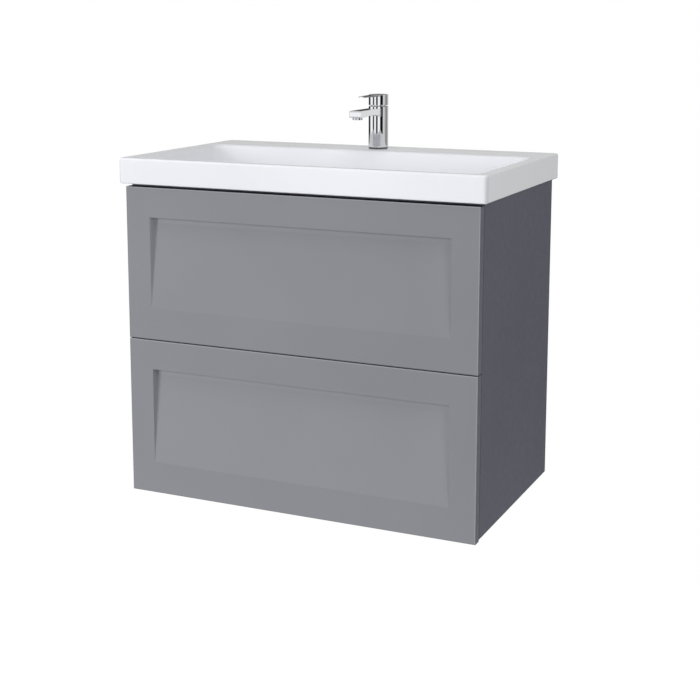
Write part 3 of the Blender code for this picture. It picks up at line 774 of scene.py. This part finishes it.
def outer_rings():
    """Underside of the apron, its face and the rounded top arris, as rings."""
    half_w, half_d = BASIN_HIGH.x, BASIN_HIGH.y
    foot, top, corner = 0.003, 0.0045, 0.0085
    rings = []
    for a in arc_steps(4):
        inset = foot * (1 - math.sin(a))
        z = APRON_Z + foot * (1 - math.cos(a))
        rings.append(outline_ring(half_w - inset, half_d - inset, corner - inset, 0.0, z))
    for a in arc_steps(6):
        inset = top * (1 - math.cos(a))
        z = RIM_Z - top * (1 - math.sin(a))
        rings.append(outline_ring(half_w - inset, half_d - inset, corner - inset, 0.0, z))
    return rings


def lip_rings():
    """The rounded edge where the flat rim turns down into the bowl."""
    rings = []
    for a in arc_steps(6)[:-1]:
        out = LIP * (1 - math.sin(a)) * 0.75
        drop = LIP * (1 - math.cos(a))
        rings.append(bowl_ring(drop / BOWL_DEPTH, out, RIM_Z - drop))
    return rings


def bowl_rings():
    """Rings from the foot of the lip to the floor, closer together towards the floor."""
    start = LIP / BOWL_DEPTH
    count = 26
    shares = [start + (1 - start) * math.sin(math.pi / 2 * i / count) for i in range(count + 1)]
    return [bowl_ring(u) for u in shares]


def in_pocket(point):
    return abs(point.x) < POCKET_HALF_W and POCKET_Y[0] < point.y < POCKET_Y[1]


def shell_rings(ceiling):
    """Rings from the drain up the bowl's underside, to the pocket's wall or its ceiling."""
    fine, spans = 60, 14
    outside = [bowl_ring(k / fine, SHELL_T, RIM_Z - BOWL_DEPTH * k / fine - SHELL_T) for k in range(fine + 1)]
    starts = []
    for i in range(len(outside[0])):
        inside = (in_pocket(ring[i]) and ring[i].z < ceiling + 1e-6 for ring in outside)
        starts.append(next(k for k, found in enumerate(inside) if found))
    rings = []
    for step in range(spans + 1):
        ring = []
        for i, start in enumerate(starts):
            k = fine + (start - fine) * step / spans
            lower = int(k)
            upper = min(lower + 1, fine)
            ring.append(outside[lower][i].lerp(outside[upper][i], k - lower))
        rings.append(ring)
    return rings


def underside_rings():
    """From the drain out along the bowl's underside, then up to the deck and down the apron's inner face."""
    ceiling = RIM_Z - DECK_T
    rings = shell_rings(ceiling)
    centre_y = (POCKET_Y[0] + POCKET_Y[1]) / 2
    pocket = outline_ring(POCKET_HALF_W, (POCKET_Y[1] - POCKET_Y[0]) / 2, 0.012, centre_y, 0.0)
    wall = []
    for point, edge in zip(rings[-1], pocket):
        wall.append(Vector((edge.x, edge.y, min(ceiling, point.z + 0.004))))
    foot = [Vector((p.x, p.y, APRON_Z)) for p in pocket]
    return rings + [wall, foot]


def basin():
    floor_z = RIM_Z - BOWL_DEPTH - DRAIN_FALL
    drain = [drain_circle(DRAIN_RING_R, floor_z), drain_circle(DRAIN_HOLE_R + 0.001, floor_z),
             drain_circle(DRAIN_HOLE_R, floor_z - 0.001)]
    under = floor_z - SHELL_T - 0.0005
    below = [drain_circle(DRAIN_HOLE_R, under), drain_circle(0.045, under)]
    rings = outer_rings() + lip_rings() + bowl_rings() + drain + below + underside_rings()
    shell = skin("basin_shell", rings, closed=True)
    overflow_at, lean = overflow_place()
    tap_drill = cylinder(TAP_HOLE_R, -0.030, 0.020)
    overflow_drill = cylinder(OVERFLOW_HOLE_R, -0.024, 0.030)
    holes = [lathe("tap_hole", tap_drill, (0, TAP_Y, RIM_Z), soft=HARD),
             lathe("overflow_hole", overflow_drill, overflow_at, soft=HARD, lean=lean)]
    mesh = combined("glazed_basin", shell, [("DIFFERENCE", hole) for hole in holes])
    piece("glazed_basin", mesh, "white_ceramic", "root", "basin", smooth_angle=40)


def front_wall(share):
    """The (y, z) point of the bowl's front wall at a share of its depth."""
    point = min(bowl_ring(share), key=lambda p: p.y)
    return Vector((point.y, point.z))


def overflow_place():
    """Middle of the overflow on the bowl's front wall, and the lean of the wall's normal."""
    fall = front_wall(OVERFLOW_SHARE + 0.01) - front_wall(OVERFLOW_SHARE - 0.01)
    middle = front_wall(OVERFLOW_SHARE)
    return Vector((0.0, middle.x, middle.y)), math.atan2(-fall.y, fall.x)


def overflow():
    inner, outer, flange = 0.0095, 0.0122, 0.0155
    top, under, foot = 0.0042, 0.0024, -0.012
    profile = [(flange, top), (flange, under), (outer, under), (outer, foot), (inner, foot), (inner, top)]
    at, lean = overflow_place()
    mesh = lathe("overflow_collar", profile, at, ring=True, lean=lean)
    piece("overflow_collar", mesh, "chrome", "root", "overflow_ring")


# Mixer


def mixer_body():
    at = (0, TAP_Y, 0)
    wall = TAP_R - 0.0035
    profile = [(wall, BODY_TOP), (TAP_R, BODY_TOP), (TAP_R, BODY_Z), (wall, BODY_Z)]
    casing = lathe("casing", profile, at, ring=True, steps=96)
    tip = TAP_Y - SPOUT_REACH
    root = TAP_Y - 0.012
    top = BODY_TOP - 0.0040
    underside = top - 0.0150
    side_view = [(root, top), (tip, top), (tip, underside), (tip + 0.030, underside),
                 (tip + 0.050, top - 0.0120), (tip + 0.080, top - 0.0125), (TAP_Y - 0.030, top - 0.0150),
                 (root, top - 0.0200)]
    tip_round, arch_round = 0.0030, 0.004
    radii = [tip_round] * 3 + [arch_round] * 5
    outline = [(p.x, p.y) for p in softened(side_view, radii)]
    spout = prism("spout", outline, (-SPOUT_HALF_W, SPOUT_HALF_W), along_x, edge=0.0012)
    outlet = (0, TAP_Y - AERATOR_REACH, underside)
    bore = lathe("aerator_bore", cylinder(0.0113, -0.010, 0.0085), outlet, soft=HARD)
    mesh = combined("mixer_casing", casing, [("UNION", spout), ("DIFFERENCE", bore)])
    piece("mixer_casing", mesh, "chrome", "root", "mixer_body")


def aerator():
    low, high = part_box("mixer_aerator")
    at = (0, (low.y + high.y) / 2, 0)
    outer = (high.x - low.x) / 2
    shell = lathe("aerator_shell", sleeve(outer - 0.0022, outer, low.z, high.z), at, ring=True, soft=0.0004)
    piece("aerator_shell", shell, "chrome", "root", "mixer_aerator")
    within, face, dimple = outer - 0.0024, low.z + 0.0016, low.z + 0.0010
    profile = [(0, high.z), (within, high.z), (within, face), (0.0015, dimple), (0, dimple)]
    piece("aerator_core", lathe("aerator_core", profile, at, soft=0.0003), "dark_plastic", "root")


def mixer_lever():
    at = (0, TAP_Y, 0)
    inner = TAP_R - 0.0015
    roof = CAP_TOP - 0.004
    profile = [(0, CAP_TOP), (TAP_R, CAP_TOP), (TAP_R, CAP_Z), (inner, CAP_Z), (inner, roof), (0, roof)]
    cap = lathe("cap", profile, at, soft=0.0010, steps=96)
    root_y, tip_y = TAP_Y - 0.006, TAP_Y - LEVER_REACH
    root_half, tip_half = 0.0125, 0.0068
    plan = [(-root_half, root_y), (-tip_half, tip_y), (tip_half, tip_y), (root_half, root_y)]
    outline = [(p.x, p.y) for p in softened(plan, 0.0028)]

    def place(u, v, w):
        along = (root_y - v) / (root_y - tip_y)
        thick = 0.0034 - 0.0008 * along
        middle = CAP_TOP - 0.0006 - thick / 2
        return (u, v, middle + w * thick / 2)

    blade = prism("blade", outline, (-1.0, 1.0), place, edge=0.0007)
    mesh = combined("mixer_handle", cap, [("UNION", blade)])
    piece("mixer_handle", mesh, "chrome", "mixer_lever", "mixer_lever")


def waste_fitting():
    """Flanged tail of the waste, with a small hub on three ribs that guides the plug."""
    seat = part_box("waste_body")[1].z - 0.0022
    tail_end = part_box("waste_body")[0].z
    hub_low, hub_high = 0.584, 0.596
    at = (0, DRAIN_Y, 0)
    profile = [(0.0330, seat + 0.0022), (0.0330, seat), (0.0225, seat), (0.0225, 0.600), (0.0209, 0.598),
               (0.0209, tail_end), (0.0180, tail_end), (0.0180, seat - 0.004), (0.0225, seat + 0.0022)]
    tail = lathe("tail", profile, at, ring=True, soft=0.0004)
    hub = lathe("hub", sleeve(0.0036, 0.0062, hub_low, hub_high), at, ring=True, soft=0.0003, steps=32)
    parts = [("UNION", hub)]
    for i in range(3):
        turn = 2 * math.pi * i / 3 + math.pi / 2
        parts.append(("UNION", rib(turn, (0.0050, 0.0195), 0.0011, (0.585, 0.595))))
    mesh = combined("waste_fitting", tail, parts)
    piece("waste_fitting", mesh, "chrome", "root", "waste_body")


def rib(turn, reach, half_width, heights):
    """A small upright plate that runs out from the drain's axis in the direction turn."""
    along = Vector((math.cos(turn), math.sin(turn), 0))
    across = Vector((-math.sin(turn), math.cos(turn), 0))
    axis = Vector((0, DRAIN_Y, 0))

    def place(u, v, w):
        return axis + along * u + across * w + Vector((0, 0, v))

    corners = [(reach[0], heights[0]), (reach[1], heights[0]), (reach[1], heights[1]), (reach[0], heights[1])]
    return prism("rib", corners, (-half_width, half_width), place)


def trap_head(outlet):
    """Upper half of the bottle, with the boss that takes the outlet arm."""
    r, bore = TRAP_R, TRAP_BORE
    head = [(0.0200, TRAP_TOP), (r - 0.004, 0.5065), (r, 0.5025), (r, 0.4525), (r - 0.003, 0.4525),
            (r - 0.003, 0.500), (bore, 0.503), (bore, TRAP_TOP)]
    shell = lathe("head", head, (0, DRAIN_Y, 0), ring=True, soft=0.0012)
    boss = lathe("boss", cylinder(0.0205, 0.020, 0.046), (0, DRAIN_Y, outlet), lean=LEVEL, soft=0.0008)
    room = lathe("room", cylinder(r - 0.0031, 0.4600, 0.4995), (0, DRAIN_Y, 0), soft=HARD)
    hole = lathe("hole", cylinder(bore, 0.010, 0.060), (0, DRAIN_Y, outlet), lean=LEVEL, soft=HARD)
    mesh = combined("trap_head", shell, [("UNION", boss), ("DIFFERENCE", room), ("DIFFERENCE", hole)])
    piece("trap_head", mesh, "chrome", "root", "trap_body")


def threaded(radius, low, high, pitch=0.00125):
    """A rod whose lower part carries thread crests, one per pitch."""
    depth = pitch * 0.4
    points = [(0, high), (radius, high)]
    turns = int((high - low) / pitch) - 1
    for i in range(turns):
        z = high - pitch * (i + 1)
        points += [(radius - depth, z + pitch / 2), (radius, z)]
    return points + [(radius - depth, low), (0, low)]


def trap_rows(outlet, wall):
    """The plug, its seal and the trap's turned pieces, from the drain down and back to the wall."""
    drain = (0, DRAIN_Y, 0)
    r = TRAP_R
    plug_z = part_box("waste_plug")[1].z - 0.0062
    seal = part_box("waste_gasket")
    return [
        ("plug_cap", "waste_plug", "chrome", "waste_plug", drain, False, 0.0,
         [(0, plug_z + 0.0062), (0.018, plug_z + 0.0056), (0.0275, plug_z + 0.0042),
          (0.0312, plug_z + 0.0024), (0.0312, plug_z), (0.0030, plug_z), (0.0030, plug_z - 0.036),
          (0, plug_z - 0.036)]),
        ("waste_seal", "waste_gasket", "rubber", "root", drain, True, 0.0,
         sleeve(0.0230, 0.0315, seal[0].z, seal[1].z)),
        ("trap_union", "trap_nut", "chrome", "root", drain, True, 0.0,
         [(0.0270, NUT_Z[1]), (0.0270, NUT_Z[0]), (TRAP_BORE, NUT_Z[0]), (TRAP_BORE, NUT_FLOOR),
          (0.0213, NUT_FLOOR), (0.0213, NUT_Z[1])]),
        ("trap_dip_tube", "trap_inlet_tube", "chrome", "root", drain, True, 0.0,
         [(0.0206, 0.5396), (0.0206, 0.5366), (TUBE_R[1], 0.5366), (TUBE_R[1], TUBE_FOOT),
          (TUBE_R[0], TUBE_FOOT), (TUBE_R[0], 0.5396)]),
        ("trap_bottle", "trap_cup", "chrome", "root", drain, False, 0.0,
         [(0, 0.401), (r - 0.009, 0.401), (r - 0.006, 0.405), (r - 0.004, CUP_TOP), (r, CUP_TOP),
          (r, 0.446), (r - 0.002, 0.444), (r - 0.003, 0.404), (r - 0.008, CUP_FOOT), (0, CUP_FOOT)]),
        ("outlet_arm", "trap_outlet_arm", "chrome", "root", (0, DRAIN_Y, outlet), True, LEVEL,
         sleeve(*TUBE_R, 0.034, wall - 0.0003)),
        ("wall_flange", "wall_rosette", "chrome", "root", (0, 0, outlet), True, LEVEL,
         [(TRAP_BORE, wall - 0.009), (TRAP_BORE, wall), (0.0360, wall), (0.0360, wall - 0.003),
          (0.0200, wall - 0.009)]),
    ]


def tap_rows():
    """The rings round the tap's foot and cap, its stud and its two inlets."""
    tap = (0, TAP_Y, 0)
    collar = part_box("mixer_collar")
    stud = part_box("fixing_stud")
    stud_at = (0, (stud[0].y + stud[1].y) / 2, 0)
    rows = [
        ("cap_ring", "mixer_collar", "chrome", "root", tap, True, 0.0,
         sleeve(0.0080, 0.0165, collar[0].z, collar[1].z)),
        ("base_gasket", "mixer_gasket", "rubber", "root", tap, True, 0.0,
         sleeve(0.0160, TAP_R - 0.0005, RIM_Z + 0.0003, BODY_Z - 0.0003)),
        ("threaded_stud", "fixing_stud", "zinc_steel", "root", stud_at, False, 0.0,
         threaded(0.0040, stud[0].z, stud[1].z)),
    ]
    for word in ("hot", "cold"):
        low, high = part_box("inlet_stub_" + word)
        at = ((low.x + high.x) / 2, (low.y + high.y) / 2, 0)
        rows.append(("inlet_tube_" + word, "inlet_stub_" + word, "brass", "root", at, True, 0.0,
                     sleeve(0.0025, 0.0048, low.z, high.z)))
    return rows


def turned_pieces():
    """The waste, the trap and the small rings and rods, turned finer than their CAD solids.

    A row holds the piece, its CAD node, slot, body and place, whether it is a ring, its lean and its profile.
    """
    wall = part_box("wall_rosette")[1].y
    outlet = sum(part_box("trap_outlet_arm")[i].z for i in (0, 1)) / 2
    for name, node, slot, body, place, ring, lean, profile in trap_rows(outlet, wall) + tap_rows():
        soft = 0.0001 if name == "threaded_stud" else 0.0006
        piece(name, lathe(name, profile, place, ring=ring, lean=lean, soft=soft), slot, body, node)
    waste_fitting()
    trap_head(outlet)


# Studio


FILL = 0.22  # even light on matt surfaces
GLOSS_FILL = 0.70  # level of everything that gloss reflects
# Area lights: place, target, size in metres and power in watts
LIGHTS = {
    "key": ((-2.0, -3.4, 1.1), (0, 0, 0.45), (2.4, 1.8), 110.0),
    "side": ((2.9, -1.5, 1.6), (0, 0, 0.45), (1.8, 1.8), 36.5),
    "top": ((0.0, -0.5, 2.6), (0, 0, 0.7), (1.6, 1.2), 12.5),
}
FLOOR_GLOW = 0.95
FLOOR_HALF = 0.8
FLOOR_DROP = 0.45
CAMERA_AT = (1.217, -2.647, 1.011)
CAMERA_PITCH = -9.31  # degrees above level
CAMERA_TURN = 24.66  # degrees from +Y towards -X
CAMERA_LENS = 70.0
CAMERA_SHIFT = (0.01, -0.15)  # the vertical shift keeps upright edges nearly parallel


def aim(obj, target):
    direction = Vector(target) - obj.location
    obj.rotation_euler = direction.to_track_quat("-Z", "Y").to_euler()


def area_light(name, place, target, size, power):
    data = bpy.data.lights.new(name, "AREA")
    data.shape = "RECTANGLE"
    data.size, data.size_y = size
    data.energy = power
    obj = bpy.data.objects.new(name, data)
    bpy.context.scene.collection.objects.link(obj)
    obj.location = place
    obj.visible_glossy = False
    aim(obj, target)


def floor():
    data = bpy.data.meshes.new("floor")
    bm = bmesh.new()
    bmesh.ops.create_grid(bm, x_segments=2, y_segments=2, size=FLOOR_HALF)
    bm.to_mesh(data)
    bm.free()
    obj = bpy.data.objects.new("floor", data)
    bpy.context.scene.collection.objects.link(obj)
    obj.location.z = CAD_BOX[0][2] - FLOOR_DROP
    data.materials.append(floor_finish())


# What gloss reflects near the horizon, by compass direction in degrees from +X: softboxes and dark flags
FLAGS = (
    (-180, 0.05), (-177, 0.05), (-173, 1.40), (-139, 1.40), (-136, 0.08), (-119, 0.08), (-116, 1.40),
    (-97, 1.40), (-94, 0.08), (-76, 0.08), (-73, 1.40), (-48, 1.40), (-45, 0.01), (-14, 0.01),
    (-10, 1.00), (16, 0.80), (24, 0.45), (61, 0.30), (65, 1.10), (79, 1.10), (84, 0.05), (180, 0.05),
)
FLAG_PEAK = max(value for _, value in FLAGS)
SKY = 0.95
SKY_RISE = (3.9, 4.5)  # elevations in degrees between which the flags give way to the sky


class Surroundings(NodeTree):
    """The world's node tree, with small builders for the nodes it needs."""

    def __init__(self):
        made = bpy.data.worlds.new("studio")
        bpy.context.scene.world = made
        made.use_nodes = True
        super().__init__(made.node_tree)

    def background(self, strength):
        added = self.node("ShaderNodeBackground")
        added.inputs["Color"].default_value = (1.0, 1.0, 1.0, 1.0)
        added.inputs["Strength"].default_value = strength
        return added

    def choice(self, factor, one, other):
        added = self.node("ShaderNodeMixShader")
        self.link(factor, added.inputs["Fac"])
        self.link(one.outputs[0], added.inputs[1])
        self.link(other.outputs[0], added.inputs[2])
        return added

    def flag_colour(self, direction):
        """Brightness of the flags by compass direction, as a share of the brightest one."""
        compass = self.node("ShaderNodeMath", operation="ARCTAN2")
        self.link(direction["Y"], compass.inputs[0])
        self.link(direction["X"], compass.inputs[1])
        share = self.node("ShaderNodeMapRange")
        share.inputs["From Min"].default_value = -math.pi
        share.inputs["From Max"].default_value = math.pi
        self.link(compass.outputs[0], share.inputs["Value"])
        ramp = self.node("ShaderNodeValToRGB")
        self.link(share.outputs["Result"], ramp.inputs["Fac"])
        stops = ramp.color_ramp.elements
        stops.remove(stops[0])
        for i, (degrees, value) in enumerate(FLAGS):
            stop = stops.new(degrees / 360 + 0.5) if i else stops[0]
            stop.position = degrees / 360 + 0.5
            level = value / FLAG_PEAK
            stop.color = (level, level, level, 1.0)
        return ramp.outputs["Color"]

    def sky_share(self, direction):
        rise = self.node("ShaderNodeMapRange", interpolation_type="SMOOTHSTEP")
        for socket, degrees in zip(("From Min", "From Max"), SKY_RISE):
            rise.inputs[socket].default_value = math.sin(math.radians(degrees))
        self.link(direction["Z"], rise.inputs["Value"])
        return rise.outputs["Result"]


def world():
    """A white backdrop: matt surfaces get an even fill, and gloss sees the flags with a pale sky above."""
    made = Surroundings()
    parts = made.node("ShaderNodeSeparateXYZ")
    made.link(made.node("ShaderNodeTexCoord").outputs["Generated"], parts.inputs[0])
    flagged = made.background(GLOSS_FILL * FLAG_PEAK)
    made.link(made.flag_colour(parts.outputs), flagged.inputs["Color"])
    reflected = made.choice(made.sky_share(parts.outputs), flagged, made.background(GLOSS_FILL * SKY))
    rays = made.node("ShaderNodeLightPath").outputs
    lit = made.choice(rays["Is Glossy Ray"], made.background(FILL), reflected)
    seen = made.choice(rays["Is Camera Ray"], lit, made.background(1.0))
    made.link(seen.outputs[0], made.tree.nodes["World Output"].inputs["Surface"])


def camera():
    data = bpy.data.cameras.new("camera")
    data.sensor_width = 36.0
    data.lens = CAMERA_LENS
    data.shift_x, data.shift_y = CAMERA_SHIFT
    obj = bpy.data.objects.new("camera", data)
    bpy.context.scene.collection.objects.link(obj)
    obj.location = CAMERA_AT
    obj.rotation_euler = (math.radians(90 + CAMERA_PITCH), 0.0, math.radians(CAMERA_TURN))
    bpy.context.scene.camera = obj


def studio():
    bpy.context.scene.view_settings.view_transform = "Standard"
    floor()
    world()
    for name, (place, target, size, power) in LIGHTS.items():
        area_light(name, place, target, size, power)
    camera()


def main():
    cad_finishes()
    for word in ("upper", "lower"):
        drawer_front(word)
    basin()
    overflow()
    mixer_body()
    aerator()
    mixer_lever()
    turned_pieces()
    studio()


main()
